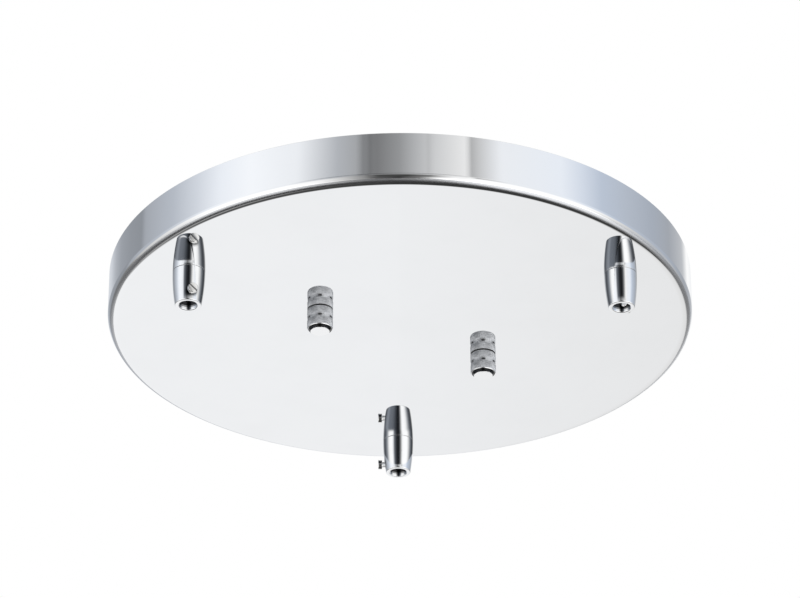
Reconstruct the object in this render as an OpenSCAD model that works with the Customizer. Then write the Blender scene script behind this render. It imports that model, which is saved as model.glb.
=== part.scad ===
// Round ceiling canopy for three pendant lamps.
// A drawn pan hangs under a ceiling bracket on two studs with knurled nuts, and
// carries three barrel cord grips. The ceiling is the plane z = 0, +Z is up, and
// the origin is the centre of the bracket. Lengths are in millimetres.

/* [Pan] */
// Outer diameter of the pan
pan_d = 300; // [240:5:400]
// Depth of the pan, from the ceiling to its lower face
pan_h = 26; // [24:0.5:40]
// Thickness of the pan's sheet
pan_t = 1.2; // [0.8:0.1:1.6]
// Outer radius of the bend between the wall and the face
pan_bend_r = 4; // [3:0.1:4]
// Centre of the pan from the bracket's centre, along X
pan_dx = -1.2; // [-1.4:0.1:4]
// Centre of the pan from the bracket's centre, along Y
pan_dy = 16.1; // [0:0.1:16.1]

/* [Pendant holes] */
// How far the circle of the cord grips lies inside the pan's edge
pendant_inset = 28.1; // [28.1:0.1:50]
// Centre of that circle from the bracket's centre, along Y
pendant_dy = -14.1; // [-14.1:0.1:0]
// Turn of the three grips on their circle, in degrees
pendant_turn = 1.2; // [-5:0.1:5]
// Directions of the clamp screws of the left, right and far grip, in degrees
screw_turns = [-74, 70, 180];

/* [Bracket] */
// Length of the strip
bracket_l = 124; // [120:1:140]
// Width of the strip
bracket_w = 20; // [16:1:26]
// Thickness of the strip
bracket_t = 1.5; // [1.2:0.1:2]
// Radius of the strip's corners
bracket_corner_r = 4; // [1:0.5:7]
// How far the two ends are stepped down from the ceiling
bracket_drop = 4; // [3.5:0.1:6]
// Half of the length that lies flat on the ceiling
bracket_flat = 39.5; // [38:0.5:40]
// Turn of the strip about the vertical, in degrees
bracket_turn = 30.3; // [0:0.1:45]
// Distance between the two ceiling screws
ceiling_pitch = 70; // [66:1:71]
// Diameter of the holes for the ceiling screws
ceiling_hole_d = 4.6; // [3.5:0.1:5]
// Diameter of the hole in the middle, for the wires
wire_hole_d = 10.5; // [8:0.5:14]
// Distance from the middle of the strip to the middle of each slot
slot_mid = 20; // [18:0.5:22]
// Length of each slot from end to end
slot_l = 15; // [8:0.5:16]
// Width of each slot
slot_w = 4.6; // [3:0.1:6]

/* [Studs] */
// Distance between the two studs
stud_pitch = 95.8; // [95:0.1:98]
// Diameter of the studs
stud_d = 4; // [3:0.5:5]
// Diameter of the studs' heads
stud_head_d = 7.6; // [6.5:0.1:9]
// Height of the studs' heads
stud_head_h = 2.5; // [2:0.1:3]
// How deep each stud goes into its knurled nut
stud_engage = 13; // [8:0.5:15]
// Diameter of the stud holes in the pan
stud_hole_d = 4.8; // [4.5:0.1:6]
// Width across the flats of the lock nuts on the studs
stud_nut_af = 7; // [6.5:0.1:8]
// Height of the lock nuts on the studs
stud_nut_h = 3.2; // [2:0.1:4]

/* [Knurled nuts] */
// Diameter over the knurling
knurled_d = 13; // [11:0.5:18]
// Length of the body without its rounded end
knurled_l = 21.7; // [19:0.1:30]
// Number of teeth round each knurled band
knurl_teeth = 44; // [24:2:60]
// Depth of the teeth
knurl_depth = 0.28; // [0.1:0.01:0.4]
// Step from the roots of the teeth down to the smooth stretches
knurl_step = 0.05; // [0.03:0.01:0.1]
// Width of the deep groove between the two bands
knurled_groove_w = 0.9; // [0.5:0.1:2]
// Depth of the deep groove between the two bands
knurled_groove_depth = 0.9; // [0.5:0.1:1.5]
// Width of the smooth ring at the middle of each band
knurled_ring_w = 2.2; // [2:0.1:3]
// Number of pits round each smooth ring
pit_count = 6; // [4:1:8]
// Diameter of the pits
pit_d = 1.8; // [1:0.1:1.9]
// Depth of the pits
pit_depth = 0.7; // [0.4:0.1:1.5]
// Length of the plain edge at each end of the body
knurled_edge = 0.5; // [0.3:0.1:1]
// Diameter of the rounded end
button_d = 9.4; // [6:0.1:11]
// Height of the rounded end
button_h = 1.3; // [0.6:0.1:1.6]

/* [Cord grips] */
// Length of a grip, from the pan to its mouth
grip_l = 37; // [34:0.1:50]
// Diameter at the seam in the middle
grip_mid_d = 16; // [15.4:0.1:20]
// Diameter at both ends
grip_end_d = 12.9; // [12.5:0.1:14]
// Chamfer on the edges of both ends
grip_edge = 0.4; // [0.2:0.1:0.6]
// Gap of the seam between collar and barrel
seam_gap = 0.15; // [0.1:0.01:0.3]
// Diameter of the way for the cord
cord_way_d = 9; // [7:0.1:9.4]
// Diameter of the threaded spigot that joins the two halves
spigot_d = 12; // [11:0.1:12.8]
// Length of that spigot
spigot_l = 5.5; // [4:0.1:8]
// Room under the end of the spigot
spigot_room = 0.35; // [0.2:0.05:1]
// Distance of the clamp screws from the ends of the grip
screw_inset = 4.6; // [4:0.1:6]

/* [Clamp screws] */
// Diameter of the clamp screws
screw_d = 3; // [2:0.1:3.5]
// Diameter of their heads
screw_head_d = 5; // [4:0.1:6]
// Height of their heads
screw_head_h = 2; // [1.2:0.1:2.5]
// Length of neck that shows between grip and head
screw_neck = 1.5; // [1.4:0.1:2.5]
// Length of the upper screws under their heads
upper_screw_l = 3.5; // [3:0.1:3.5]
// Length of the lower screws under their heads
lower_screw_l = 4; // [3.5:0.1:4]
// Width of the screwdriver slots
driver_slot_w = 0.8; // [0.5:0.1:1.2]
// Depth of the screwdriver slots
driver_slot_depth = 0.9; // [0.5:0.1:1.1]

/* [Nipples] */
// Outer diameter of the nipples
nipple_d = 10; // [9.5:0.1:10]
// Bore of the nipples
nipple_bore_d = 7.8; // [6:0.1:8]
// How deep a nipple goes into its collar
nipple_engage = 10; // [8:0.5:12]
// Height of a nipple above its nut
nipple_proud = 1.2; // [0.5:0.1:3]
// Chamfer on the ends of the nipples
nipple_chamfer = 0.4; // [0.1:0.1:0.6]
// Width across the flats of the nipple nuts
nipple_nut_af = 13; // [12.5:0.5:14]
// Height of the nipple nuts
nipple_nut_h = 3; // [2:0.1:4]
// Outer diameter of the lock washers
lock_washer_d = 12.2; // [12:0.1:13]
// Thickness of the lock washers
lock_washer_t = 0.8; // [0.5:0.1:1.2]
// Number of teeth inside the lock washers
lock_washer_teeth = 8; // [6:1:10]
// Width of the gaps between those teeth
lock_washer_gap = 1.6; // [1:0.1:2]

/* [Ground screw] */
// Distance of the ground screw from the nearer stud
ground_pitch = 9.1; // [9:0.1:10]
// Diameter of the ground screw
ground_d = 4; // [3:0.1:4]
// Length of the ground screw under its head
ground_l = 6; // [3:0.5:6]
// Diameter of its head
ground_head_d = 7.4; // [6:0.1:8]
// Height of its head
ground_head_h = 2.3; // [2:0.1:3]
// Outer diameter of its washer
ground_washer_d = 8.8; // [8:0.1:9]
// Thickness of its washer
ground_washer_t = 0.8; // [0.5:0.1:1]

/* [Clearances] */
// Radial play of a screw or tube in its thread
thread_play = 0.05; // [0.02:0.01:0.08]
// Gap under a piece that turns against a face
turn_gap = 0.1; // [0.05:0.01:0.2]
// Radial play of the nipples in the pan's holes
hole_play = 0.2; // [0.1:0.05:0.4]

/* [Hidden] */
pan_r = pan_d / 2;
face_z = -pan_h;
face_top_z = face_z + pan_t;

pendant_r = pan_r - pendant_inset;
grip_at = [for (a = [210, -30, 90])
    [pendant_r * cos(a + pendant_turn),
     pendant_dy + pendant_r * sin(a + pendant_turn)]];
LEFT = 0;
RIGHT = 1;
FAR = 2;

bracket_step = bracket_t + 1.5;
pad_top_z = -bracket_drop;
pad_z = pad_top_z - bracket_t;
stud_at = stud_pitch / 2;
stud_tip_z = face_z - stud_engage;
ground_at = stud_at + ground_pitch;

knurled_top_z = face_z - turn_gap;
knurled_r = knurled_d / 2;
root_r = knurled_r - knurl_depth;
smooth_r = root_r - knurl_step;
band_l = (knurled_l - knurled_groove_w - 2 * knurled_edge) / 2;
tooth_band_l = (band_l - knurled_ring_w) / 2;
nut_bore_l = stud_engage + 2;

grip_mid_r = grip_mid_d / 2;
grip_end_r = grip_end_d / 2;
grip_bulge = grip_mid_r - grip_end_r;
grip_half = grip_l / 2;
grip_arc_r = (grip_half * grip_half + grip_bulge * grip_bulge) / (2 * grip_bulge);
seam_z = -grip_half;
screw_from_seam = grip_half - screw_inset;
grip_at_screw_r = grip_mid_r - grip_arc_r
    + sqrt(grip_arc_r * grip_arc_r - screw_from_seam * screw_from_seam);
screw_seat_r = grip_at_screw_r + screw_neck;

nut_z = face_top_z + lock_washer_t;
nipple_top_z = nut_z + nipple_nut_h + nipple_proud;
nipple_end_z = face_z - nipple_engage;

// Round shapes are drawn with this many sides, the small ones with fewer
$fn = 96;
cut = 1;

// Places

// Puts its children on the axis of one grip
module at_grip(i) translate([grip_at[i][0], grip_at[i][1], 0]) children();

// Puts its children at a distance along the bracket, from its middle
module along_bracket(x) rotate(bracket_turn) translate([x, 0, 0]) children();

// Direction from the pan's centre to a grip
function wall_turn(i) = atan2(grip_at[i][1] - pan_dy, grip_at[i][0] - pan_dx);

// Shapes that repeat

// A tube that stands on its lower end
module tube(r, bore_r, h) difference() {
    cylinder(r = r, h = h);
    translate([0, 0, -cut]) cylinder(r = bore_r, h = h + 2 * cut);
}

// A hexagon nut that stands on its lower face
module hex_nut(af, bore_r, h) difference() {
    cylinder(r = af / sqrt(3), h = h, $fn = 6);
    translate([0, 0, -cut]) cylinder(r = bore_r, h = h + 2 * cut);
}

// A slotted screw: its head stands up from z = 0 and its shank hangs down
module slotted_screw(d, l, head_d, head_h) difference() {
    union() {
        cylinder(r = head_d / 2, h = head_h - driver_slot_w / 2);
        translate([0, 0, head_h - driver_slot_w / 2])
            cylinder(r1 = head_d / 2, r2 = head_d / 2 - driver_slot_w / 2, h = driver_slot_w / 2);
        translate([0, 0, -l]) cylinder(r = d / 2, h = l);
    }
    translate([-head_d, -driver_slot_w / 2, head_h - driver_slot_depth])
        cube([2 * head_d, driver_slot_w, driver_slot_depth + cut]);
}

// A flat outline with round corners, centred
module rounded_rectangle(l, w, r) {
    square([l - 2 * r, w], center = true);
    square([l, w - 2 * r], center = true);
    for (x = [-1, 1], y = [-1, 1])
        translate([x * (l / 2 - r), y * (w / 2 - r)]) circle(r);
}

// A slot outline along X, centred
module slot_outline(l, w) {
    square([l - w, w], center = true);
    for (x = [-1, 1]) translate([x * (l - w) / 2, 0]) circle(w / 2);
}

// Pan

// Half of the section of a solid pan: r out, h deep, with a bend of radius b
module pan_outline(r, h, b) {
    translate([0, -h]) square([r - b, h]);
    translate([0, b - h]) square([r, h - b]);
    translate([r - b, b - h]) circle(b);
}

module pan() color("gainsboro") difference() {
    translate([pan_dx, pan_dy, 0]) rotate_extrude() difference() {
        pan_outline(pan_r, pan_h, pan_bend_r);
        pan_outline(pan_r - pan_t, pan_h - pan_t, pan_bend_r - pan_t);
    }
    for (i = [LEFT, RIGHT, FAR]) at_grip(i) translate([0, 0, face_z - cut])
        cylinder(r = nipple_d / 2 + hole_play, h = pan_t + 2 * cut);
    for (s = [-1, 1]) along_bracket(s * stud_at) translate([0, 0, face_z - cut])
        cylinder(r = stud_hole_d / 2, h = pan_t + 2 * cut);
}

// Bracket

// Side view of the strip: flat in the middle, stepped down at both ends
module bracket_side() {
    half = bracket_l / 2;
    foot = bracket_flat + bracket_step;
    polygon([
        [-half, pad_top_z], [-foot, pad_top_z], [-bracket_flat, 0], [bracket_flat, 0],
        [foot, pad_top_z], [half, pad_top_z], [half, pad_z], [foot - bracket_t / 2, pad_z],
        [bracket_flat - bracket_t / 2, -bracket_t], [bracket_t / 2 - bracket_flat, -bracket_t],
        [bracket_t / 2 - foot, pad_z], [-half, pad_z]
    ]);
}

module ceiling_bracket() color("darkgray") rotate(bracket_turn) difference() {
    intersection() {
        rotate([90, 0, 0]) linear_extrude(bracket_w, center = true) bracket_side();
        translate([0, 0, pad_z - cut]) linear_extrude(bracket_drop + bracket_t + 2 * cut)
            rounded_rectangle(bracket_l, bracket_w, bracket_corner_r);
    }
    translate([0, 0, -bracket_t - cut]) linear_extrude(bracket_t + 2 * cut) {
        circle(wire_hole_d / 2);
        for (s = [-1, 1]) {
            translate([s * ceiling_pitch / 2, 0]) circle(ceiling_hole_d / 2);
            translate([s * slot_mid, 0]) slot_outline(slot_l, slot_w);
        }
    }
    for (x = [-stud_at, stud_at]) translate([x, 0, pad_z - cut])
        cylinder(r = stud_d / 2 + thread_play, h = bracket_t + 2 * cut);
    translate([-ground_at, 0, pad_z - cut])
        cylinder(r = ground_d / 2 + thread_play, h = bracket_t + 2 * cut);
}

// Studs and their lock nuts

module stud(s) color("silver") along_bracket(s * stud_at) translate([0, 0, pad_top_z])
    slotted_screw(stud_d, pad_top_z - stud_tip_z, stud_head_d, stud_head_h);

module stud_nut(s) color("silver") along_bracket(s * stud_at)
    translate([0, 0, pad_z - stud_nut_h])
        hex_nut(stud_nut_af, stud_d / 2 + thread_play, stud_nut_h);

// Ground screw

module ground_screw() color("mediumseagreen") along_bracket(-ground_at)
    translate([0, 0, pad_z - ground_washer_t]) rotate([180, 0, 0])
        slotted_screw(ground_d, ground_l, ground_head_d, ground_head_h);

module ground_washer() color("silver") along_bracket(-ground_at)
    translate([0, 0, pad_z - ground_washer_t])
        tube(ground_washer_d / 2, ground_d / 2 + thread_play, ground_washer_t);

// Knurled nuts

// Outline of a knurled band: straight teeth with sharp crests
module knurl_outline() polygon([for (k = [0 : 2 * knurl_teeth - 1])
    let (a = 180 * k / knurl_teeth, r = k % 2 == 0 ? knurled_r : root_r)
    [r * cos(a), r * sin(a)]]);

// One band: teeth, a smooth ring with pits, and teeth again
module knurled_band() difference() {
    union() {
        linear_extrude(tooth_band_l) knurl_outline();
        translate([0, 0, tooth_band_l]) cylinder(r = smooth_r, h = knurled_ring_w);
        translate([0, 0, band_l - tooth_band_l]) linear_extrude(tooth_band_l) knurl_outline();
    }
    for (k = [0 : pit_count - 1]) rotate(360 * k / pit_count - 90)
        translate([smooth_r - pit_depth, 0, band_l / 2]) rotate([0, 90, 0])
            cylinder(r = pit_d / 2, h = pit_depth + cut);
}

// Rounded end of the nut: a button with a round edge
module button() rotate_extrude() {
    translate([0, -button_h]) square([button_d / 2 - button_h, button_h]);
    intersection() {
        translate([button_d / 2 - button_h, 0]) circle(button_h);
        translate([button_d / 2 - button_h, -button_h]) square(button_h);
    }
}

module knurled_nut(s) color("darkgray") along_bracket(s * stud_at)
    translate([0, 0, knurled_top_z]) rotate(-bracket_turn) difference() {
        union() {
            translate([0, 0, -knurled_l])
                cylinder(r1 = smooth_r - knurled_edge, r2 = smooth_r, h = knurled_edge);
            translate([0, 0, knurled_edge - knurled_l]) knurled_band();
            translate([0, 0, knurled_edge + band_l - knurled_l])
                cylinder(r = knurled_r - knurled_groove_depth, h = knurled_groove_w);
            translate([0, 0, -knurled_edge - band_l]) knurled_band();
            translate([0, 0, -knurled_edge])
                cylinder(r1 = smooth_r, r2 = smooth_r - knurled_edge, h = knurled_edge);
            translate([0, 0, -knurled_l]) button();
        }
        translate([0, 0, -nut_bore_l]) cylinder(r = stud_d / 2 + thread_play, h = nut_bore_l + cut);
    }

// Cord grips

// Half of the outline of a whole grip, from the pan at y = 0 down to its mouth
module grip_outline() difference() {
    intersection() {
        translate([0, -grip_l]) square([grip_mid_r, grip_l]);
        translate([grip_mid_r - grip_arc_r, seam_z]) circle(grip_arc_r, $fn = 720);
    }
    for (y = [0, -grip_l]) translate([grip_end_r, y]) rotate(45)
        square(grip_edge * sqrt(2), center = true);
}

// Hole for the clamp screw that points to azimuth a at height z
module screw_hole(a, z) translate([0, 0, z]) rotate(a) rotate([0, 90, 0])
    cylinder(r = screw_d / 2 + thread_play, h = grip_mid_r + cut);

module grip_collar(i) color("gainsboro") at_grip(i) translate([0, 0, face_z]) difference() {
    rotate_extrude() difference() {
        union() {
            intersection() {
                grip_outline();
                translate([0, seam_z]) square([grip_mid_r, grip_half]);
            }
            translate([0, seam_z - spigot_l]) square([spigot_d / 2, spigot_l + cut]);
        }
        translate([0, -grip_l]) square([cord_way_d / 2, grip_l + cut]);
        translate([0, -nipple_engage - thread_play])
            square([nipple_d / 2 + thread_play, nipple_engage + thread_play + cut]);
    }
    screw_hole(screw_turns[i], -screw_inset);
}

module grip_barrel(i) color("gainsboro") at_grip(i) translate([0, 0, face_z]) difference() {
    rotate_extrude() difference() {
        intersection() {
            grip_outline();
            translate([0, -grip_l]) square([grip_mid_r, grip_half - seam_gap]);
        }
        translate([0, -grip_l - cut]) square([cord_way_d / 2, grip_l]);
        translate([0, seam_z - spigot_l - spigot_room])
            square([spigot_d / 2 + thread_play, spigot_l + spigot_room]);
    }
    screw_hole(screw_turns[i], screw_inset - grip_l);
}

// Clamp screw of grip i, l long, at height z from the pan, with its head outside
module clamp_screw(i, z, l) color("silver") at_grip(i) translate([0, 0, face_z + z])
    rotate(screw_turns[i]) translate([screw_seat_r, 0, 0]) rotate([0, 90, 0])
        slotted_screw(screw_d, l, screw_head_d, screw_head_h);

module upper_screw(i) clamp_screw(i, -screw_inset, upper_screw_l);

module lower_screw(i) clamp_screw(i, screw_inset - grip_l, lower_screw_l);

// Nipples, with their nuts and washers

module nipple(i) color("silver") at_grip(i) rotate_extrude() difference() {
    translate([nipple_bore_d / 2, nipple_end_z])
        square([(nipple_d - nipple_bore_d) / 2, nipple_top_z - nipple_end_z]);
    for (y = [nipple_top_z, nipple_end_z]) translate([nipple_d / 2, y]) rotate(45)
        square(nipple_chamfer * sqrt(2), center = true);
}

module nipple_nut(i) color("silver") at_grip(i) translate([0, 0, nut_z])
    rotate(wall_turn(i) + 30) hex_nut(nipple_nut_af, nipple_d / 2 + thread_play, nipple_nut_h);

module lock_washer(i) color("darkgray") at_grip(i) translate([0, 0, face_top_z]) difference() {
    tube(lock_washer_d / 2, nipple_d / 2 + thread_play, lock_washer_t);
    for (k = [0 : lock_washer_teeth - 1]) rotate(360 * k / lock_washer_teeth)
        translate([nipple_d / 2, 0, -cut])
            cylinder(r = lock_washer_gap / 2, h = lock_washer_t + 2 * cut);
}

pan();
ceiling_bracket();
stud(-1);  // stud_left
stud(1);  // stud_right
stud_nut(-1);  // stud_nut_left
stud_nut(1);  // stud_nut_right
knurled_nut(-1);  // knurled_nut_left
knurled_nut(1);  // knurled_nut_right
ground_screw();
ground_washer();
grip_collar(LEFT);  // grip_collar_left
grip_collar(RIGHT);  // grip_collar_right
grip_collar(FAR);  // grip_collar_far
grip_barrel(LEFT);  // grip_barrel_left
grip_barrel(RIGHT);  // grip_barrel_right
grip_barrel(FAR);  // grip_barrel_far
nipple(LEFT);  // nipple_left
nipple(RIGHT);  // nipple_right
nipple(FAR);  // nipple_far
nipple_nut(LEFT);  // nipple_nut_left
nipple_nut(RIGHT);  // nipple_nut_right
nipple_nut(FAR);  // nipple_nut_far
lock_washer(LEFT);  // lock_washer_left
lock_washer(RIGHT);  // lock_washer_right
lock_washer(FAR);  // lock_washer_far
upper_screw(LEFT);  // upper_screw_left
upper_screw(RIGHT);  // upper_screw_right
upper_screw(FAR);  // upper_screw_far
lower_screw(LEFT);  // lower_screw_left
lower_screw(RIGHT);  // lower_screw_right
lower_screw(FAR);  // lower_screw_far
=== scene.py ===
"""Looks of a round chrome ceiling canopy with three cord grips, dressed over its CAD frame.

Lengths are written in millimetres and turned into metres by MM. The frame's origin is the
middle of the ceiling bracket; the pan hangs a little behind it.
"""
import math

import bmesh
import bpy
from mathutils import Matrix, Vector


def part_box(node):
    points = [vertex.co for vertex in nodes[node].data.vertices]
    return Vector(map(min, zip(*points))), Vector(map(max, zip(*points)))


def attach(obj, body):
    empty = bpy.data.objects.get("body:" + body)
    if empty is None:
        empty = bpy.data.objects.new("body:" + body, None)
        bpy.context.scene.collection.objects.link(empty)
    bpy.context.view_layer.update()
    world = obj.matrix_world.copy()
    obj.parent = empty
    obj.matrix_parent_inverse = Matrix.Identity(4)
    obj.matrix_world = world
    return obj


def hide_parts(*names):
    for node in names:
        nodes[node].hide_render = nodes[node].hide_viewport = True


MM = 0.001
GRIPS = ("left", "right", "far")
SIDES = ("left", "right")
SCREW_TURNS = {"left": -74, "right": 70, "far": 180}

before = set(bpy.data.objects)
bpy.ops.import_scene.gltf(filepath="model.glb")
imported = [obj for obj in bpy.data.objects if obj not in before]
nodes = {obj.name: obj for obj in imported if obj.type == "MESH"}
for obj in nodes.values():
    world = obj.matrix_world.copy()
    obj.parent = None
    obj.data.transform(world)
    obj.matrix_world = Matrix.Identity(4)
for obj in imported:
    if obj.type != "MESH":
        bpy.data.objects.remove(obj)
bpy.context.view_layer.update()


# Places, read from the frame

def middle(node):
    """Centre of a node's box, in metres."""
    low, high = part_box(node)
    return (low + high) / 2


PAN_LOW, PAN_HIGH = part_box("pan")
PAN_AT = (PAN_LOW + PAN_HIGH) / 2
PAN_R = (PAN_HIGH.x - PAN_LOW.x) / 2
PAN_H = PAN_HIGH.z - PAN_LOW.z
FACE = PAN_LOW.z / MM


def upright(node, level=0.0):
    """A place on a node's vertical axis, at a level in mm."""
    at = middle(node)
    return Matrix.Translation((at.x, at.y, level * MM))


# Camera

FOCAL_PX = 3600
IMAGE_W = 800
SENSOR_W = 36
CAMERA_BACK = 1863 * MM
LOOK_UP = math.radians(29.19)
AIM_LOW = math.radians(0.226)
ROLL = math.radians(-0.278)


def photo_camera():
    """The camera that took the photograph: below the canopy, looking up at its rim."""
    data = bpy.data.cameras.new("photo_camera")
    data.sensor_width = SENSOR_W
    data.lens = FOCAL_PX * SENSOR_W / IMAGE_W
    data.clip_end = 60
    camera = bpy.data.objects.new("photo_camera", data)
    bpy.context.scene.collection.objects.link(camera)
    aim = LOOK_UP - AIM_LOW
    back = Vector((0, -math.cos(LOOK_UP), -math.sin(LOOK_UP)))
    turn = Matrix(((1, 0, 0),
                   (0, -math.sin(aim), -math.cos(aim)),
                   (0, math.cos(aim), -math.sin(aim)))).to_4x4()
    rim_centre = Vector((PAN_AT.x, PAN_AT.y, PAN_HIGH.z))
    camera.matrix_world = (Matrix.Translation(rim_centre + CAMERA_BACK * back)
                           @ turn @ Matrix.Rotation(ROLL, 4, "Z"))
    bpy.context.scene.camera = camera


# Node building

def add_node(tree, kind, inputs=None, **settings):
    """A new node; inputs maps a socket's name or number to a value or an output socket."""
    node = tree.nodes.new(kind)
    for key, value in settings.items():
        setattr(node, key, value)
    for key, value in (inputs or {}).items():
        if isinstance(value, bpy.types.NodeSocket):
            tree.links.new(value, node.inputs[key])
        else:
            node.inputs[key].default_value = value
    return node


def sum_of(tree, operation, a, b=0.0):
    """Result of one Math node."""
    return add_node(tree, "ShaderNodeMath", {0: a, 1: b}, operation=operation).outputs[0]


def ramp(tree, value, stops):
    """A colour ramp over value; stops are (place, colour)."""
    node = add_node(tree, "ShaderNodeValToRGB", {"Fac": value})
    elements = node.color_ramp.elements
    for stop in stops[2:]:
        elements.new(stop[0])
    for element, stop in zip(elements, stops):
        element.position = stop[0]
    for element, stop in zip(elements, stops):
        element.color = (*stop[1], 1)
    return node.outputs["Color"]


def between(tree, value, low, high):
    """0 at low, 1 at high, and a smooth step between."""
    return add_node(tree, "ShaderNodeMapRange", {0: value, 1: low, 2: high},
                    interpolation_type="SMOOTHSTEP").outputs[0]


def mixed(tree, factor, a, b, blend="MIX"):
    """Colour a, blended towards b by the factor."""
    node = add_node(tree, "ShaderNodeMix", {0: factor, 6: a, 7: b},
                    data_type="RGBA", blend_type=blend)
    return node.outputs[2]


def linear(srgb):
    """Linear light of an sRGB value from 0 to 255."""
    c = srgb / 255
    return c / 12.92 if c <= 0.04045 else ((c + 0.055) / 1.055) ** 2.4


def glow(srgb, blue=0.0):
    """Light of a grey, with a share of blue in it."""
    grey = linear(srgb)
    return (grey * (1 - blue), grey * (1 - blue / 4), grey * (1 + blue))


def compass(stops):
    """Stops of a full turn: bearings from the camera's side, 0, in degrees, and sRGB greys."""
    return [((a + 180) / 360, glow(*tone)) for a, *tone in stops]


def bearing(tree, x, y):
    """Bearing of a direction, from 0 to 1, with the camera's side at 0.5."""
    back_y = sum_of(tree, "MULTIPLY", y, -1.0)
    angle = sum_of(tree, "ARCTAN2", x, back_y)
    return add_node(tree, "ShaderNodeMapRange", {0: angle, 1: -math.pi, 2: math.pi}).outputs[0]


# Studio

# Rows of tones round the room, one for each band of heights. The greys were read off the
# photographed wall and bend, at places that mirror these bearings, and set against the render.
WALL_ROW = ((-180, 228, 0.03), (-160, 207, 0.06), (-150, 176, 0.07), (-143, 160, 0.08),
            (-132, 150, 0.08), (-122, 146, 0.08), (-119, 168, 0.08), (-100, 188, 0.09),
            (-86, 214, 0.07), (-74, 238, 0.05), (-60, 247, 0.03), (-40, 238, 0.03),
            (-24, 180, 0.05), (-16.2, 164, 0.03), (-14.5, 133, 0.03), (-9, 121, 0.02),
            (0, 148, 0.02), (6, 176, 0.02), (14, 204, 0.01), (26, 231), (28, 176, 0.01),
            (31, 196, 0.01), (40, 237, 0.03), (66, 237, 0.06), (76, 220, 0.1), (86, 198, 0.14),
            (100, 188, 0.12), (118, 174, 0.12), (132, 167, 0.08), (148, 190, 0.04),
            (157, 250), (180, 228, 0.03))
LOWER_ROW = ((-180, 238, 0.01), (-165, 242, 0.01), (-158, 226), (-142, 132), (-124, 120),
             (-119, 140), (-114, 188), (-104, 214), (-94, 230), (-76, 258), (-42, 258),
             (-30, 246), (-20, 190), (-8, 70), (3, 64), (11, 120), (20, 240), (30, 256),
             (74, 256), (93, 210), (109, 184, 0.05), (121, 184, 0.05), (134, 162), (144, 130),
             (156, 150), (165, 216), (172, 225), (180, 237, 0.01))
DEEP_ROW = ((-180, 52), (-172, 80), (-163, 150), (-156, 165), (-149, 100), (-142, 58),
            (-126, 56), (-119, 76), (-114, 210), (-106, 262), (-84, 280), (-40, 270),
            (-24, 200), (-10, 86), (0, 54), (9, 116), (20, 280), (40, 300), (104, 300),
            (116, 270), (128, 225), (140, 140), (150, 100), (162, 58), (180, 52))
FLOOR_ROW = ((-180, 54), (-150, 58), (-112, 64), (-104, 90), (-97, 220), (-86, 275), (-58, 275),
             (-44, 230), (-32, 120), (-16, 66), (0, 56), (14, 120), (28, 270), (50, 310),
             (104, 310), (118, 275), (128, 220), (140, 125), (154, 80), (168, 56), (180, 54))
# Thin dark joints between the panels in front, as a share of the tone
JOINT_ROW = ((-180, 255), (-12.6, 255), (-11.7, 226), (-10.6, 255), (10.6, 255), (11.8, 234),
             (12.8, 255), (180, 255))
# Soft light on satin pieces, brighter from the right
SOFT_ROW = ((-180, 150), (-120, 186), (-70, 196), (-36, 124), (10, 110), (30, 250), (56, 330),
            (100, 320), (140, 210), (180, 150))

# What the cord grips mirror, straight or by way of the pan's face: black flags beside a
# white panel, and a grey one above it on the left. Read off the photographed grips likewise.
BARREL_ROW = ((-180, 205), (-150, 180, 0.05), (-136, 90, 0.1), (-120, 80, 0.1), (-106, 110, 0.1),
              (-92, 150, 0.08), (-80, 216), (-68, 252), (-46, 254), (-38, 214, 0.03),
              (-29, 110, 0.1), (-14, 52, 0.12), (-2, 26, 0.12), (5, 34, 0.1), (14, 84, 0.06),
              (23, 172), (32, 244), (44, 255), (70, 255), (84, 215), (98, 150, 0.06),
              (112, 96, 0.1), (130, 62, 0.1), (146, 96, 0.08), (158, 200), (180, 205))
COLLAR_ROW = ((-180, 205), (-156, 120, 0.1), (-136, 80, 0.12), (-118, 120, 0.1),
              (-96, 138, 0.1), (-78, 114, 0.12), (-60, 110, 0.12), (-42, 100, 0.12),
              (-24, 70, 0.14), (-12, 44, 0.14), (-2, 26, 0.12), (5, 38, 0.1), (13, 88, 0.05),
              (23, 190), (32, 250), (50, 254), (66, 236), (82, 176, 0.04), (98, 112, 0.08),
              (116, 66, 0.1), (136, 84, 0.08), (160, 170), (180, 205))
FLAG_REACH = 36
NEAR_ROW = (tuple(stop for stop in WALL_ROW if stop[0] < -FLAG_REACH)
            + tuple(stop for stop in BARREL_ROW if abs(stop[0]) <= FLAG_REACH)
            + tuple(stop for stop in WALL_ROW if stop[0] > FLAG_REACH))

# Heights, in degrees, over which the room fades from the row below to the row named here
LAYERS = ((-80, -72, FLOOR_ROW), (-60, -54, DEEP_ROW), (-36, -32.4, LOWER_ROW),
          (-12, -1, WALL_ROW), (10, 13, NEAR_ROW), (30.2, 30.7, WALL_ROW),
          (31.7, 32.0, COLLAR_ROW))
SKY_FROM = (52, 75)
FACE_SEAM = (-30.5, -28.5)
NADIR_TONE = 60
SKY_TONE = (226, 0.03)
ROOM_LIGHT = 1.05


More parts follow.
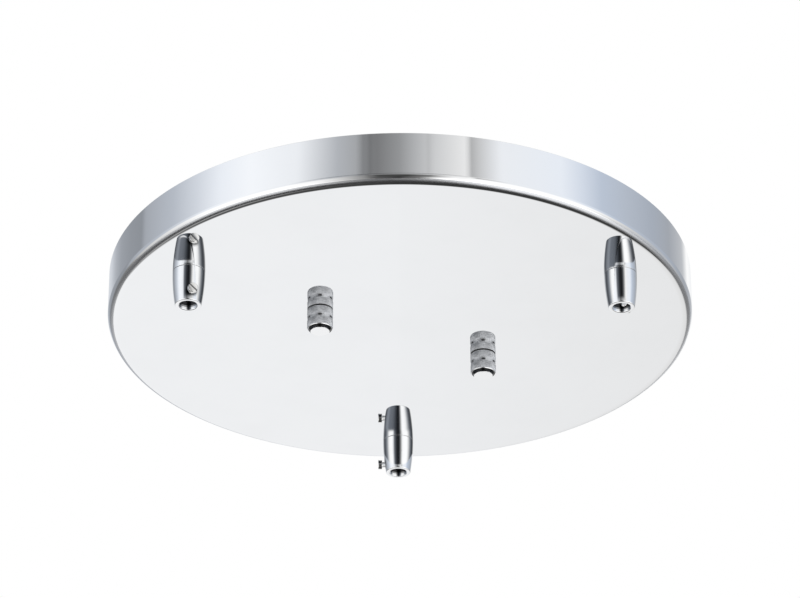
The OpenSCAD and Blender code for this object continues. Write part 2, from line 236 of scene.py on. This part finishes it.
def studio_light():
    """The room that the chrome mirrors: white softboxes, darker gaps, and a dark zone below."""
    world = bpy.data.worlds.new("studio")
    bpy.context.scene.world = world
    world.use_nodes = True
    tree = world.node_tree
    tree.nodes.clear()
    ray = add_node(tree, "ShaderNodeTexCoord").outputs["Generated"]
    axes = add_node(tree, "ShaderNodeSeparateXYZ", {0: ray})
    x, y, z = axes.outputs
    height = sum_of(tree, "DEGREES", sum_of(tree, "ARCSINE", z))
    turn = bearing(tree, x, y)

    def tones(row):
        return ramp(tree, turn, compass(row))

    level = (*glow(NADIR_TONE), 1)
    for low, high, row in LAYERS:
        level = mixed(tree, between(tree, height, low, high), level, tones(row))
    level = mixed(tree, 1.0, level, tones(JOINT_ROW), "MULTIPLY")
    room = mixed(tree, between(tree, height, *SKY_FROM), level, (*glow(*SKY_TONE), 1))
    by_face = mixed(tree, between(tree, height, *FACE_SEAM), tones(COLLAR_ROW), tones(BARREL_ROW))
    path = add_node(tree, "ShaderNodeLightPath").outputs
    twice = sum_of(tree, "GREATER_THAN", path["Glossy Depth"], 1.5)
    room = mixed(tree, twice, room, by_face)
    soft = sum_of(tree, "GREATER_THAN", path["Diffuse Depth"], 0.5)
    room = mixed(tree, soft, room, tones(SOFT_ROW))
    shine = add_node(tree, "ShaderNodeBackground", {"Color": room, "Strength": ROOM_LIGHT})
    plain = add_node(tree, "ShaderNodeBackground", {"Color": (1, 1, 1, 1), "Strength": 1.0})
    mix = add_node(tree, "ShaderNodeMixShader",
                   {0: path["Is Camera Ray"], 1: shine.outputs[0], 2: plain.outputs[0]})
    add_node(tree, "ShaderNodeOutputWorld", {"Surface": mix.outputs[0]})
    bpy.context.scene.view_settings.view_transform = "Standard"


FLOOR_HALF = 6.0
FLOOR_LEVEL = -3.2


def floor():
    """A pale floor, far below the ceiling that the canopy hangs on, in metres."""
    mesh = bmesh.new()
    signs = ((-1, -1), (1, -1), (1, 1), (-1, 1))
    mesh.faces.new([mesh.verts.new((x * FLOOR_HALF, y * FLOOR_HALF, FLOOR_LEVEL))
                    for x, y in signs])
    piece = finished("floor", mesh)
    material, tree, shader = new_material("pale_floor")
    shader.inputs["Base Color"].default_value = (0.85, 0.85, 0.85, 1)
    shader.inputs["Roughness"].default_value = 0.9
    piece.data.materials.append(material)
    piece.visible_glossy = False
    piece.visible_diffuse = False


# Shared effects

def new_group(name, inputs, outputs):
    """A node group with named sockets; each is (name, kind, default)."""
    group = bpy.data.node_groups.new(name, "ShaderNodeTree")
    for label, kind, default in inputs:
        socket = group.interface.new_socket(label, in_out="INPUT", socket_type=kind)
        socket.default_value = default
    for label, kind in outputs:
        group.interface.new_socket(label, in_out="OUTPUT", socket_type=kind)
    source = group.nodes.new("NodeGroupInput")
    sink = group.nodes.new("NodeGroupOutput")
    return group, source, sink


SCRATCH_TURNS = (0.3, 1.9, 2.8)
SCRATCH_STRETCH = (2600, 90, 400)


def wear_group():
    """Hairline scratches and faint smudges: a bump height and a factor for the roughness."""
    group, source, sink = new_group(
        "wear", [("Size", "NodeSocketFloat", 1.0)],
        [("Scratches", "NodeSocketFloat"), ("Smudges", "NodeSocketFloat")])
    place = add_node(group, "ShaderNodeTexCoord").outputs["Object"]
    sized = add_node(group, "ShaderNodeVectorMath",
                     {0: place, "Scale": source.outputs["Size"]}, operation="SCALE").outputs[0]
    lines = None
    for turn in SCRATCH_TURNS:
        stretched = add_node(group, "ShaderNodeMapping", {
            "Vector": sized, "Rotation": (0.2, turn / 3, turn), "Scale": SCRATCH_STRETCH})
        noise = add_node(group, "ShaderNodeTexNoise",
                         {"Vector": stretched.outputs[0], "Scale": 1.0, "Detail": 2.0})
        thin = between(group, noise.outputs[0], 0.62, 0.7)
        lines = thin if lines is None else sum_of(group, "MAXIMUM", lines, thin)
    cloud = add_node(group, "ShaderNodeTexNoise",
                     {"Vector": sized, "Scale": 55.0, "Detail": 4.0, "Roughness": 0.6})
    group.links.new(lines, sink.inputs["Scratches"])
    group.links.new(between(group, cloud.outputs[0], 0.35, 0.75), sink.inputs["Smudges"])
    return group


# Materials

def new_material(name):
    """A material with one Principled shader; returns it with its tree and shader."""
    material = bpy.data.materials.new(name)
    material.use_nodes = True
    tree = material.node_tree
    tree.nodes.clear()
    shader = tree.nodes.new("ShaderNodeBsdfPrincipled")
    out = tree.nodes.new("ShaderNodeOutputMaterial")
    tree.links.new(shader.outputs[0], out.inputs["Surface"])
    return material, tree, shader


def use_group(tree, group, inputs):
    """A group placed in a material, with its own values."""
    node = tree.nodes.new("ShaderNodeGroup")
    node.node_tree = group
    for key, value in inputs.items():
        node.inputs[key].default_value = value
    return node


SCRATCH_DEPTH = 0.00002
SMUDGE_SHADE = 0.955
FLAKE_SCALE = 900.0
# Painted shade: a dark tone for cavities, and a tone and share for the ring round screw heads
PAINTED_SHADE_TONE = (0.03, 0.03, 0.0315, 1)
SEAT_PAINTED_SHADE_TONE = (0.02, 0.022, 0.026, 1)
SEAT_PAINTED_SHADE_SHARE = 0.9
POLISHED_ROUGHNESS = 0.06


def metal(name, colour, roughness, smudge, grain=0.0, size=1.0, polished=None, metallic=1.0):
    """Plated metal with wear, and painted shade in its cavities and under its screw heads."""
    material, tree, shader = new_material(name)
    shader.inputs["Metallic"].default_value = metallic
    wear = use_group(tree, WEAR, {"Size": size})
    tone = mixed(tree, wear.outputs["Smudges"], (*colour, 1),
                 tuple(c * SMUDGE_SHADE for c in colour) + (1,))
    if grain:
        place = add_node(tree, "ShaderNodeTexCoord").outputs["Object"]
        spangle = add_node(tree, "ShaderNodeTexVoronoi",
                           {"Vector": place, "Scale": FLAKE_SCALE * size}, feature="F1")
        flakes = add_node(tree, "ShaderNodeSeparateColor", {0: spangle.outputs["Color"]})
        mottled = mixed(tree, 1.0, tone, flakes.outputs[0], "SOFT_LIGHT")
        tone = mixed(tree, grain, tone, mottled)
    if polished:
        bright = add_node(tree, "ShaderNodeAttribute", attribute_name="polish").outputs["Fac"]
        tone = mixed(tree, bright, tone, (*polished, 1))
    # Painted shade round the screw heads, darkening the base colour
    seat_painted_shade = add_node(tree, "ShaderNodeAttribute", attribute_name="seat_painted_shade").outputs["Fac"]
    tone = mixed(tree, sum_of(tree, "MULTIPLY", seat_painted_shade, SEAT_PAINTED_SHADE_SHARE), tone, SEAT_PAINTED_SHADE_TONE)
    # Painted shade in bores, pits, slots, grooves and necks, as a near-black base colour
    cavity_painted_shade = add_node(tree, "ShaderNodeAttribute", attribute_name="dull_inside_and_painted_shade").outputs["Fac"]
    tone = mixed(tree, cavity_painted_shade, tone, PAINTED_SHADE_TONE)
    tree.links.new(tone, shader.inputs["Base Color"])
    rough = add_node(tree, "ShaderNodeMapRange",
                     {0: wear.outputs["Smudges"], 3: roughness, 4: roughness + smudge})
    if polished:
        rough = add_node(tree, "ShaderNodeMix",
                         {0: bright, 2: rough.outputs[0], 3: POLISHED_ROUGHNESS},
                         data_type="FLOAT")
        pure = add_node(tree, "ShaderNodeMix", {0: bright, 2: metallic, 3: 1.0},
                        data_type="FLOAT")
        tree.links.new(pure.outputs[0], shader.inputs["Metallic"])
    tree.links.new(rough.outputs[0], shader.inputs["Roughness"])
    bump = add_node(tree, "ShaderNodeBump", {"Strength": 0.03, "Distance": SCRATCH_DEPTH,
                                             "Height": wear.outputs["Scratches"]})
    tree.links.new(bump.outputs[0], shader.inputs["Normal"])
    return material


INSIDE_TONE = (0.62, 0.63, 0.65, 1)
INSIDE_ROUGHNESS = 0.3


def pan_metal():
    """Mirror chrome outside, and duller bare plating inside the pan."""
    material, tree, shader = new_material("pan_metal")
    shader.inputs["Metallic"].default_value = 1.0
    wear = use_group(tree, WEAR, {"Size": 0.4})
    inside = add_node(tree, "ShaderNodeAttribute", attribute_name="dull_inside_and_painted_shade").outputs["Fac"]
    tone = mixed(tree, wear.outputs["Smudges"], (0.955, 0.96, 0.965, 1), (0.94, 0.945, 0.95, 1))
    tone = mixed(tree, inside, tone, INSIDE_TONE)
    tree.links.new(tone, shader.inputs["Base Color"])
    polish = add_node(tree, "ShaderNodeMapRange", {0: wear.outputs["Smudges"], 3: 0.012, 4: 0.03})
    rough = add_node(tree, "ShaderNodeMix",
                     {0: inside, 2: polish.outputs[0], 3: INSIDE_ROUGHNESS}, data_type="FLOAT")
    tree.links.new(rough.outputs[0], shader.inputs["Roughness"])
    bump = add_node(tree, "ShaderNodeBump", {"Strength": 0.02, "Distance": SCRATCH_DEPTH,
                                             "Height": wear.outputs["Scratches"]})
    tree.links.new(bump.outputs[0], shader.inputs["Normal"])
    return material


# Turned shapes

def arc(centre_r, centre_z, radius, start, end, steps):
    """Points (r, z) on an arc, from one angle to another, in degrees."""
    points = []
    for k in range(steps + 1):
        a = math.radians(start + (end - start) * k / steps)
        points.append((centre_r + radius * math.cos(a), centre_z + radius * math.sin(a)))
    return points


def turned(name, outline, sides, place, closed=True, shape=None):
    """A turned solid: outline is a list of (r, z) in mm, and points at r = 0 become poles.

    shape(r, z, angle) may change a point's radius, for a thread, teeth or flats.
    """
    mesh = bmesh.new()
    rings = []
    for r, z in outline:
        if r < 1e-9:
            rings.append([mesh.verts.new((0, 0, z * MM))])
            continue
        ring = []
        for k in range(sides):
            a = 2 * math.pi * k / sides
            q = (shape(r, z, a) if shape else r) * MM
            ring.append(mesh.verts.new((q * math.cos(a), q * math.sin(a), z * MM)))
        rings.append(ring)
    pairs = list(zip(rings, rings[1:]))
    if closed:
        pairs.append((rings[-1], rings[0]))
    for a, b in pairs:
        for k in range(sides):
            j = (k + 1) % sides
            loop = list(dict.fromkeys([a[k % len(a)], a[j % len(a)],
                                       b[j % len(b)], b[k % len(b)]]))
            if len(loop) > 2:
                mesh.faces.new(loop)
    bmesh.ops.recalc_face_normals(mesh, faces=mesh.faces)
    mesh.transform(place)
    return finished(name, mesh)


def finished(name, mesh):
    """An object of its own from a bmesh, which is freed."""
    data = bpy.data.meshes.new(name)
    mesh.to_mesh(data)
    mesh.free()
    piece = bpy.data.objects.new(name, data)
    bpy.context.scene.collection.objects.link(piece)
    return piece


def smooth(piece, degrees=30):
    """Smooth shading, with edges sharper than this left hard."""
    data = piece.data
    data.polygons.foreach_set("use_smooth", [True] * len(data.polygons))
    data.set_sharp_from_angle(angle=math.radians(degrees))


def drill(piece, cutters):
    """Cuts each cutter object out of the piece and removes the cutter."""
    for cutter in cutters:
        hole = piece.modifiers.new("hole", "BOOLEAN")
        hole.operation = "DIFFERENCE"
        hole.solver = "EXACT"
        hole.object = cutter
    graph = bpy.context.evaluated_depsgraph_get()
    data = bpy.data.meshes.new_from_object(piece.evaluated_get(graph))
    piece.modifiers.clear()
    piece.data = data
    for cutter in cutters:
        bpy.data.objects.remove(cutter)


def pin(r, low, high, place, sides=32):
    """A round cutter."""
    return turned("cutter", [(0, low), (r, low), (r, high), (0, high)], sides, place, closed=False)


def mark(piece, place, test, name="dull_inside_and_painted_shade"):
    """Marks the faces whose centre, in the place's own mm, passes the test; the default mask is
    painted shade, and the pan's dull inside.
    """
    home = place.inverted()
    values = []
    for polygon in piece.data.polygons:
        x, y, z = home @ polygon.center / MM
        values.append(float(test(math.hypot(x, y), z, x, y)))
    attribute = piece.data.attributes.new(name, "FLOAT", "FACE")
    attribute.data.foreach_set("value", values)


def shade_seat(piece, across):
    """Marks painted shade on the points round a screw's axis, where its head hides the light."""
    home = across.inverted()
    values = []
    for vertex in piece.data.vertices:
        x, y, z = home @ vertex.co / MM
        depth = (SEAT_SHADE - math.hypot(x, y)) / SHADE_FADE
        values.append(min(1.0, max(0.0, depth)) if z > 2 else 0.0)
    attribute = piece.data.attributes.new("seat_painted_shade", "FLOAT", "POINT")
    attribute.data.foreach_set("value", values)


def placed(piece, name, node, body, material):
    """Puts a finished piece in its node's place."""
    piece.name = name
    piece.data.materials.clear()
    piece.data.materials.append(material)
    piece.visible_glossy = node == "pan"
    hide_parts(node)
    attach(piece, body)


def along(start, end, steps):
    """Even steps from start to end, both included."""
    return [start + (end - start) * k / steps for k in range(steps + 1)]


def thread(pitch, depth, low, high, radius):
    """A shape function: a helical thread between two levels, on one outer radius."""
    def shape(r, z, a):
        if abs(r - radius) > 0.01 or z < low or z > high:
            return r
        phase = (z / pitch - a / (2 * math.pi)) % 1.0
        fade = min(1.0, (z - low) / pitch, (high - z) / pitch)
        return r - depth * fade * (1 - abs(2 * phase - 1))
    return shape


# Pan

PAN_SIDES = 360
SHEET = 1.2
BEND = 4.0
EASE_R = 22.0
EASE_TURN = 5.5
BEND_STEPS = 24
TIGHT_R = 0.5
TIGHT_TURN = 11.0
EASE = 0.25
RIM_EDGE = 0.2
FLAT_RING_R = 60
NIPPLE_HOLE_R = 5.2
STUD_HOLE_R = 2.4


def pan():
    """The drawn pan: a tight turn and a wide bend from the wall to a softly eased face."""
    r, h = PAN_R / MM, PAN_H / MM
    rise = math.radians(EASE_TURN)
    tight = math.radians(TIGHT_TURN)
    flat_r = r - TIGHT_R - (BEND - TIGHT_R) * math.cos(tight)
    ease_r = flat_r - (EASE_R - BEND) * math.sin(rise)
    bend_z = EASE_R - (EASE_R - BEND) * math.cos(rise) - h
    wall_z = bend_z - (BEND - TIGHT_R) * math.sin(tight)
    inner_r = r - SHEET
    inner_bend = BEND - SHEET
    rim = RIM_EDGE
    outline = [(0, -h), (FLAT_RING_R, -h), (ease_r - EASE, -h)]
    outline += arc(ease_r, EASE_R - h, EASE_R, -90, EASE_TURN - 90, 6)
    outline += arc(flat_r, bend_z, BEND, EASE_TURN - 90, -TIGHT_TURN, BEND_STEPS)[1:]
    outline += arc(r - TIGHT_R, wall_z, TIGHT_R, -TIGHT_TURN, 0, 3)[1:]
    outline += [(r, wall_z + EASE / 4), (r, -rim - EASE), (r, -rim), (r - rim, 0),
                (inner_r + rim, 0), (inner_r, -rim), (inner_r, -rim - EASE),
                (inner_r, bend_z + EASE)]
    outline += arc(r - BEND, BEND - h, inner_bend, 0, -90, BEND_STEPS // 2)
    outline += [(flat_r - EASE, SHEET - h), (FLAT_RING_R, SHEET - h), (0, SHEET - h)]
    place = upright("pan")
    piece = turned("drawn_pan", outline, PAN_SIDES, place, closed=False)
    holes = [(f"nipple_{g}", NIPPLE_HOLE_R) for g in GRIPS]
    holes += [(f"stud_{s}", STUD_HOLE_R) for s in SIDES]
    drill(piece, [pin(hole_r, -h - 1, SHEET - h + 1, upright(node), 48)
                  for node, hole_r in holes])
    smooth(piece)
    mark(piece, place, lambda q, z, x, y: q < inner_r + 0.05 and z > 0.2 - h)
    placed(piece, "drawn_pan", "pan", "canopy", pan_metal())


# Cord grips

GRIP_L = 37.0
HALF = GRIP_L / 2
MID_R = 8.0
END_R = 6.45
ARC_R = (HALF ** 2 + (MID_R - END_R) ** 2) / (2 * (MID_R - END_R))
SEAM_GAP = 0.15
SEAM_EDGE = 0.12
SPIGOT_R = 6.0
SPIGOT_L = 5.5
SOCKET_R = 6.05
SOCKET_L = 5.7
SOCKET_DEEP = HALF + SEAM_GAP + SOCKET_L
THREAD_R = 5.05
THREAD_L = 10.05
WAY_R = 4.5
GRIP_EDGE = 0.4
MOUTH_EDGE = 0.3
SCREW_INSET = 4.6
SCREW_R = 1.5
HEAD_CLEAR = 1.5
SEAT_R = MID_R - ARC_R + math.sqrt(ARC_R ** 2 - (HALF - SCREW_INSET) ** 2) + HEAD_CLEAR
HOLLOW_R = 6.2
# Painted shade in the grips' bores: none for this depth inside the mouth, then fading in over the
# next
UNSHADED_MOUTH = 0.9
MOUTH_SHADE_FADE = 1.4
GRIP_SIDES = 128
# Reach and fade of the painted shade round the screw heads, in mm
SEAT_SHADE = 3.5
SHADE_FADE = 1.2


def bulge(z):
    """Outer radius of a grip at z below the pan's face."""
    return MID_R - ARC_R + math.sqrt(ARC_R ** 2 - (z + HALF) ** 2)


def grip_shell(part, g):
    """One half of a grip, drilled for its screw; returns the screw's axis as a place."""
    place = upright(f"nipple_{g}", FACE)
    e = GRIP_EDGE
    if part == "grip_collar":
        level = -SCREW_INSET
        outline = arc(bulge(-e) - e, -e, e, 90, 0, 6)
        outline += [(bulge(z), z) for z in along(-e - 0.15, -HALF + 0.3, 18)]
        outline += arc(MID_R - SEAM_EDGE, -HALF + SEAM_EDGE, SEAM_EDGE, 0, -90, 4)
        outline += [(SPIGOT_R, -HALF), (SPIGOT_R, -HALF - SPIGOT_L), (WAY_R, -HALF - SPIGOT_L),
                    (WAY_R, -THREAD_L), (THREAD_R, -THREAD_L), (THREAD_R, 0)]
        # Painted shade on the collar's inner faces and its spigot
        bore_painted_shade = (lambda q, z, x, y: q < HOLLOW_R or z < -HALF + 0.02)
    else:
        level = SCREW_INSET - GRIP_L
        top = -HALF - SEAM_GAP
        outline = arc(MID_R - SEAM_EDGE, top - SEAM_EDGE, SEAM_EDGE, 90, 0, 4)
        outline += [(bulge(z), z) for z in along(top - 0.3, e + 0.15 - GRIP_L, 18)]
        outline += arc(bulge(e - GRIP_L) - e, e - GRIP_L, e, 0, -90, 6)
        outline += arc(WAY_R + MOUTH_EDGE, MOUTH_EDGE - GRIP_L, MOUTH_EDGE, -90, -180, 4)
        outline += [(WAY_R, z) for z in along(0.6 - GRIP_L, 6 - GRIP_L, 6)]
        outline += [(WAY_R, -SOCKET_DEEP), (SOCKET_R, -SOCKET_DEEP), (SOCKET_R, top)]
        # Painted shade deep in the barrel's bore, fading in from the mouth, and in its socket
        mouth = UNSHADED_MOUTH - GRIP_L
        bore_painted_shade = (lambda q, z, x, y: min(1, max(0, (z - mouth) / MOUTH_SHADE_FADE)) * (q < HOLLOW_R)
                  or z > top - 0.02)
    piece = turned(part, outline, GRIP_SIDES, place)
    turn = Matrix.Rotation(math.radians(SCREW_TURNS[g]), 4, "Z")
    across = (place @ Matrix.Translation((0, 0, level * MM)) @ turn
              @ Matrix.Rotation(math.radians(90), 4, "Y"))
    drill(piece, [pin(SCREW_R + 0.05, 2, 10, across)])
    smooth(piece)
    mark(piece, place, bore_painted_shade)
    shade_seat(piece, across)
    body = "canopy" if part == "grip_collar" else f"{part}_{g}"
    placed(piece, f"turned_{part}_{g}", f"{part}_{g}", body, GRIP_CHROME)
    return across


SCREW_SIDES = 48
TIP_EDGE = 0.35
FOOT_EDGE = 0.12
HEAD_EDGE = 0.3
SLOT_W = 0.8
SLOT_CUT = 1.9


def slotted(name, d, l, head_d, head_h, place, slot_turn, pitch):
    """A slotted cheese-head screw along its place's Z, its head up from 0."""
    r, hr = d / 2, head_d / 2
    outline = [(0, -l), (r - TIP_EDGE, -l), (r, -l + TIP_EDGE)]
    outline += [(r, z) for z in along(-l + 0.4, -0.05, max(8, int(l / pitch * 6)))]
    outline += [(r, 0), (hr - FOOT_EDGE, 0), (hr, FOOT_EDGE), (hr, head_h / 2)]
    outline += arc(hr - HEAD_EDGE, head_h - HEAD_EDGE, HEAD_EDGE, 0, 90, 5)
    outline += [(0, head_h)]
    piece = turned(name, outline, SCREW_SIDES, place, closed=False,
                   shape=thread(pitch, pitch * 0.5, -l + TIP_EDGE, -0.05, r))
    mesh = bmesh.new()
    bmesh.ops.create_cube(mesh, size=1.0)
    slot = finished("cutter", mesh)
    slot.matrix_world = (place @ Matrix.Rotation(math.radians(slot_turn), 4, "Z")
                         @ Matrix.Translation((0, 0, (head_h + 0.05) * MM))
                         @ Matrix.Diagonal((3 * head_d * MM, SLOT_W * MM, SLOT_CUT * MM, 1)))
    bpy.context.view_layer.update()
    drill(piece, [slot])
    smooth(piece)
    # Painted shade in the bottom of the slot
    mark(piece, place, lambda q, z, x, y: head_h - 1.0 < z < head_h - 0.3 and q < hr - 0.02)
    return piece


SCREW_HEAD_D = 5.0
SCREW_HEAD_H = 2.0
SCREW_PITCH = 0.5
UPPER_L = 3.5
LOWER_L = 4.0
SLOT_TURNS = {"left": (40, 48), "right": (40, 48), "far": (-29, -29)}


def clamp_screw(part, g, across, length, slot_turn):
    """A clamp screw on its axis, its head clear of the grip."""
    place = across @ Matrix.Translation((0, 0, SEAT_R * MM))
    piece = slotted(part, 2 * SCREW_R, length, SCREW_HEAD_D, SCREW_HEAD_H, place, slot_turn,
                    SCREW_PITCH)
    placed(piece, f"turned_{part}_{g}", f"{part}_{g}", f"{part}_{g}",
           SCREW_CHROME)


# Knurled nuts

NUT_TEETH = 88
NUT_R = 6.5
NUT_SMOOTH = 6.34
NUT_L = 21.7
NUT_EDGE = 0.5
NUT_GROOVE = 0.9
GROOVE_R = NUT_R - 0.9
NUT_RING = 2.2
NUT_TOP = -0.1
BAND = (NUT_L - NUT_GROOVE - 2 * NUT_EDGE) / 2
TEETH_L = (BAND - NUT_RING) / 2
BUTTON_R = 4.7
BUTTON_H = 1.3
BUTTON_EDGE = 0.15
PIT_R = 0.9
PIT_STRETCH = (0.6, 1.25, 1, 1)
PITS = 6
PIT_DEPTH = 0.7
PIT_SHADE = 0.85
TOOTH_H = 0.14
BORE_R = 2.05
BORE_L = 15


def knurled_nut(s):
    """A knurled nut: two bands with toothed ends and a ring of pits, a groove and a button."""
    place = upright(f"stud_{s}", FACE + NUT_TOP)
    crest = NUT_R - 0.02
    outline = [(0, -BORE_L), (BORE_R, -BORE_L), (BORE_R, 0), (NUT_SMOOTH - NUT_EDGE, 0)]
    outline += arc(NUT_SMOOTH - NUT_EDGE, -NUT_EDGE, NUT_EDGE, 80, 10, 4)
    rings = []
    for start in (-NUT_EDGE, -NUT_EDGE - BAND - NUT_GROOVE):
        for low, high in ((start, start - TEETH_L),
                          (start - TEETH_L - NUT_RING, start - BAND)):
            outline += [(NUT_SMOOTH, low), (crest, low - 0.08), (crest, high + 0.08),
                        (NUT_SMOOTH, high)]
        rings.append(start - BAND / 2)
        if start == -NUT_EDGE:
            outline += [(GROOVE_R + 0.1, start - BAND - 0.08), (GROOVE_R, start - BAND - 0.2),
                        (GROOVE_R, start - BAND - NUT_GROOVE + 0.2),
                        (GROOVE_R + 0.1, start - BAND - NUT_GROOVE + 0.08)]
    outline += arc(NUT_SMOOTH - NUT_EDGE, NUT_EDGE - NUT_L, NUT_EDGE, -10, -80, 4)
    end = -NUT_L - BUTTON_H
    edge_z = BUTTON_EDGE - NUT_L - BUTTON_H
    outline += [(BUTTON_R + 0.75, -NUT_L), (BUTTON_R + 0.6, -NUT_L - 0.04),
                (BUTTON_R + BUTTON_EDGE, edge_z)]
    outline += arc(BUTTON_R, edge_z, BUTTON_EDGE, -10, -90, 3)
    outline += [(BUTTON_R - 0.1, end), (1, end), (0, end)]

    def teeth(r, z, a):
        if r < crest - 0.01:
            return r
        phase = (a * NUT_TEETH / (2 * math.pi)) % 1.0
        return r - TOOTH_H * abs(2 * phase - 1)

    piece = turned("knurled_nut", outline, NUT_TEETH * 4, place, closed=False, shape=teeth)
    cutters = []
    for level in rings:
        for k in range(PITS):
            side = (place @ Matrix.Translation((0, 0, level * MM))
                    @ Matrix.Rotation(math.radians(360 / PITS * k - 90), 4, "Z")
                    @ Matrix.Rotation(math.radians(90), 4, "Y")
                    @ Matrix.Diagonal(PIT_STRETCH))
            cutters.append(pin(PIT_R, NUT_SMOOTH - PIT_DEPTH, 8, side, 24))
    drill(piece, cutters)
    smooth(piece, 40)
    groove = -NUT_EDGE - BAND - NUT_GROOVE / 2
    neck = (0.03 - NUT_L, 0.06 - NUT_L - BUTTON_H)

    # Painted shade: the neck above the button all round, the pits, the groove and the bore take
    # the dark tone
    def painted_shade_faces(q, z, x, y):
        sunk = q < NUT_SMOOTH - 0.04
        if q > BUTTON_R and neck[0] > z > neck[1]:
            return True
        if min(abs(z - level) for level in rings) < PIT_R:
            return PIT_SHADE * sunk
        return sunk and abs(z - groove) < 0.44 or q < BORE_R + 0.15 and z > -BORE_L - 0.5

    mark(piece, place, painted_shade_faces)
    mark(piece, place, lambda q, z, x, y: z < 0.3 - NUT_L, "polish")
    placed(piece, f"turned_knurled_nut_{s}", f"knurled_nut_{s}",
           f"knurled_nut_{s}", KNURLED_STEEL)


# Hidden pieces

BRACKET_TURN = 30.3
STUD_D = 4.0
STUD_PITCH = 0.7
STUD_HEAD_D = 7.6
STUD_HEAD_H = 2.5
GROUND_HEAD_D = 7.4
GROUND_HEAD_H = 2.3
GROUND_L = 6.0


def stud(s):
    """A stud, its head on the bracket."""
    low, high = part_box(f"stud_{s}")
    top = high.z / MM - STUD_HEAD_H
    place = upright(f"stud_{s}", top) @ Matrix.Rotation(math.radians(BRACKET_TURN), 4, "Z")
    piece = slotted("stud", STUD_D, top - low.z / MM, STUD_HEAD_D, STUD_HEAD_H, place, 0,
                    STUD_PITCH)
    placed(piece, f"turned_stud_{s}", f"stud_{s}", "canopy", ZINC)


def ground_screw():
    """The earth screw, its head down under the bracket."""
    low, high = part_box("ground_screw")
    place = (upright("ground_screw", low.z / MM + GROUND_HEAD_H)
             @ Matrix.Rotation(math.radians(180), 4, "X")
             @ Matrix.Rotation(math.radians(-BRACKET_TURN), 4, "Z"))
    piece = slotted("ground_screw", STUD_D, GROUND_L, GROUND_HEAD_D, GROUND_HEAD_H, place, 0,
                    STUD_PITCH)
    placed(piece, "turned_ground_screw", "ground_screw", "canopy", GREEN)


# Across flats, bore radius and height
STUD_NUT = (7.0, 2.05, 3.2)
NIPPLE_NUT = (13.0, 5.05, 3.0)
NUT_SIDES = 96


def hexagon_nut(node, sizes, turn):
    """A nut with chamfered corners, standing on its node's lower face."""
    af, bore, height = sizes
    low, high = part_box(node)
    corner = af / math.sqrt(3)
    place = upright(node, low.z / MM) @ Matrix.Rotation(math.radians(turn), 4, "Z")
    cut = (corner - af / 2) * math.tan(math.radians(30))
    levels = [0, cut * 0.5, cut, height / 2, height - cut, height - cut * 0.5, height]

    def flats(r, z, a):
        if r < bore + 0.4:
            return r
        aside = (a + math.pi / 6) % (math.pi / 3) - math.pi / 6
        limit = af / 2 / math.cos(math.pi / 6 - abs(aside))
        depth = max(0.0, cut - z, z - height + cut)
        return min(limit, corner - depth / math.tan(math.radians(30)))

    outline = [(bore, 0.3), (bore + 0.3, 0)]
    outline += [(corner, z) for z in levels]
    outline += [(bore + 0.3, height), (bore, height - 0.3)]
    piece = turned(node, outline, NUT_SIDES, place, shape=flats)
    smooth(piece, 25)
    placed(piece, f"pressed_{node}", node, "canopy", ZINC)


NIPPLE_R = 5.0
NIPPLE_BORE_R = 3.9
NIPPLE_PITCH = 1.0
NIPPLE_EDGE = 0.4
NIPPLE_SIDES = 64


def nipple(g):
    """A threaded tube through the pan."""
    low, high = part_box(f"nipple_{g}")
    bottom, top = low.z / MM, high.z / MM
    r, bore, e = NIPPLE_R, NIPPLE_BORE_R, NIPPLE_EDGE
    outline = [(bore, bottom), (r - e, bottom), (r, bottom + e)]
    outline += [(r, z) for z in along(bottom + 0.5, top - 0.5, int((top - bottom) * 8))]
    outline += [(r, top - e), (r - e, top), (bore, top)]
    piece = turned("nipple", outline, NIPPLE_SIDES, upright(f"nipple_{g}"),
                   shape=thread(NIPPLE_PITCH, NIPPLE_PITCH / 2, bottom + e, top - e, r))
    smooth(piece, 35)
    place = upright(f"nipple_{g}", bottom)
    # Painted shade in the bore, all but its top 1.5 mm
    mark(piece, place, lambda q, z, x, y: q < bore + 0.1 and z < top - bottom - 1.5)
    placed(piece, f"threaded_nipple_{g}", f"nipple_{g}", "canopy", BRASSY_ZINC)


def dress(node, material):
    """Puts one material on a CAD node that keeps its own shape."""
    for slot in nodes[node].material_slots:
        slot.material = material


# Whole model

photo_camera()
studio_light()
floor()

WEAR = wear_group()
GRIP_CHROME = metal("grip_chrome", (0.98, 0.985, 0.99), 0.04, 0.03)
SCREW_CHROME = metal("screw_chrome", (0.93, 0.925, 0.91), 0.1, 0.06)
KNURLED_STEEL = metal("knurled_steel", (0.86, 0.875, 0.9), 0.33, 0.08,
                      polished=(0.98, 0.98, 0.98), metallic=0.5)
ZINC = metal("zinc_plate", (0.7, 0.72, 0.76), 0.24, 0.12, grain=0.25)
STRIP = metal("zinc_strip", (0.74, 0.76, 0.79), 0.3, 0.14, grain=0.4, size=0.6)
BRASSY_ZINC = metal("nipple_zinc", (0.74, 0.71, 0.62), 0.26, 0.1, grain=0.15)
SPRING = metal("spring_steel", (0.36, 0.37, 0.39), 0.3, 0.12)
GREEN = metal("ground_green", (0.09, 0.42, 0.18), 0.28, 0.12)

pan()
for s in SIDES:
    stud(s)
    hexagon_nut(f"stud_nut_{s}", STUD_NUT, BRACKET_TURN)
    knurled_nut(s)
ground_screw()
dress("ground_washer", ZINC)
dress("ceiling_bracket", STRIP)
for g in GRIPS:
    upper_turn, lower_turn = SLOT_TURNS[g]
    clamp_screw("upper_screw", g, grip_shell("grip_collar", g), UPPER_L, upper_turn)
    clamp_screw("lower_screw", g, grip_shell("grip_barrel", g), LOWER_L, lower_turn)
    nipple(g)
    out = middle(f"nipple_{g}") - PAN_AT
    wall_turn = math.degrees(math.atan2(out.y, out.x))
    hexagon_nut(f"nipple_nut_{g}", NIPPLE_NUT, wall_turn + 30)
    dress(f"lock_washer_{g}", SPRING)
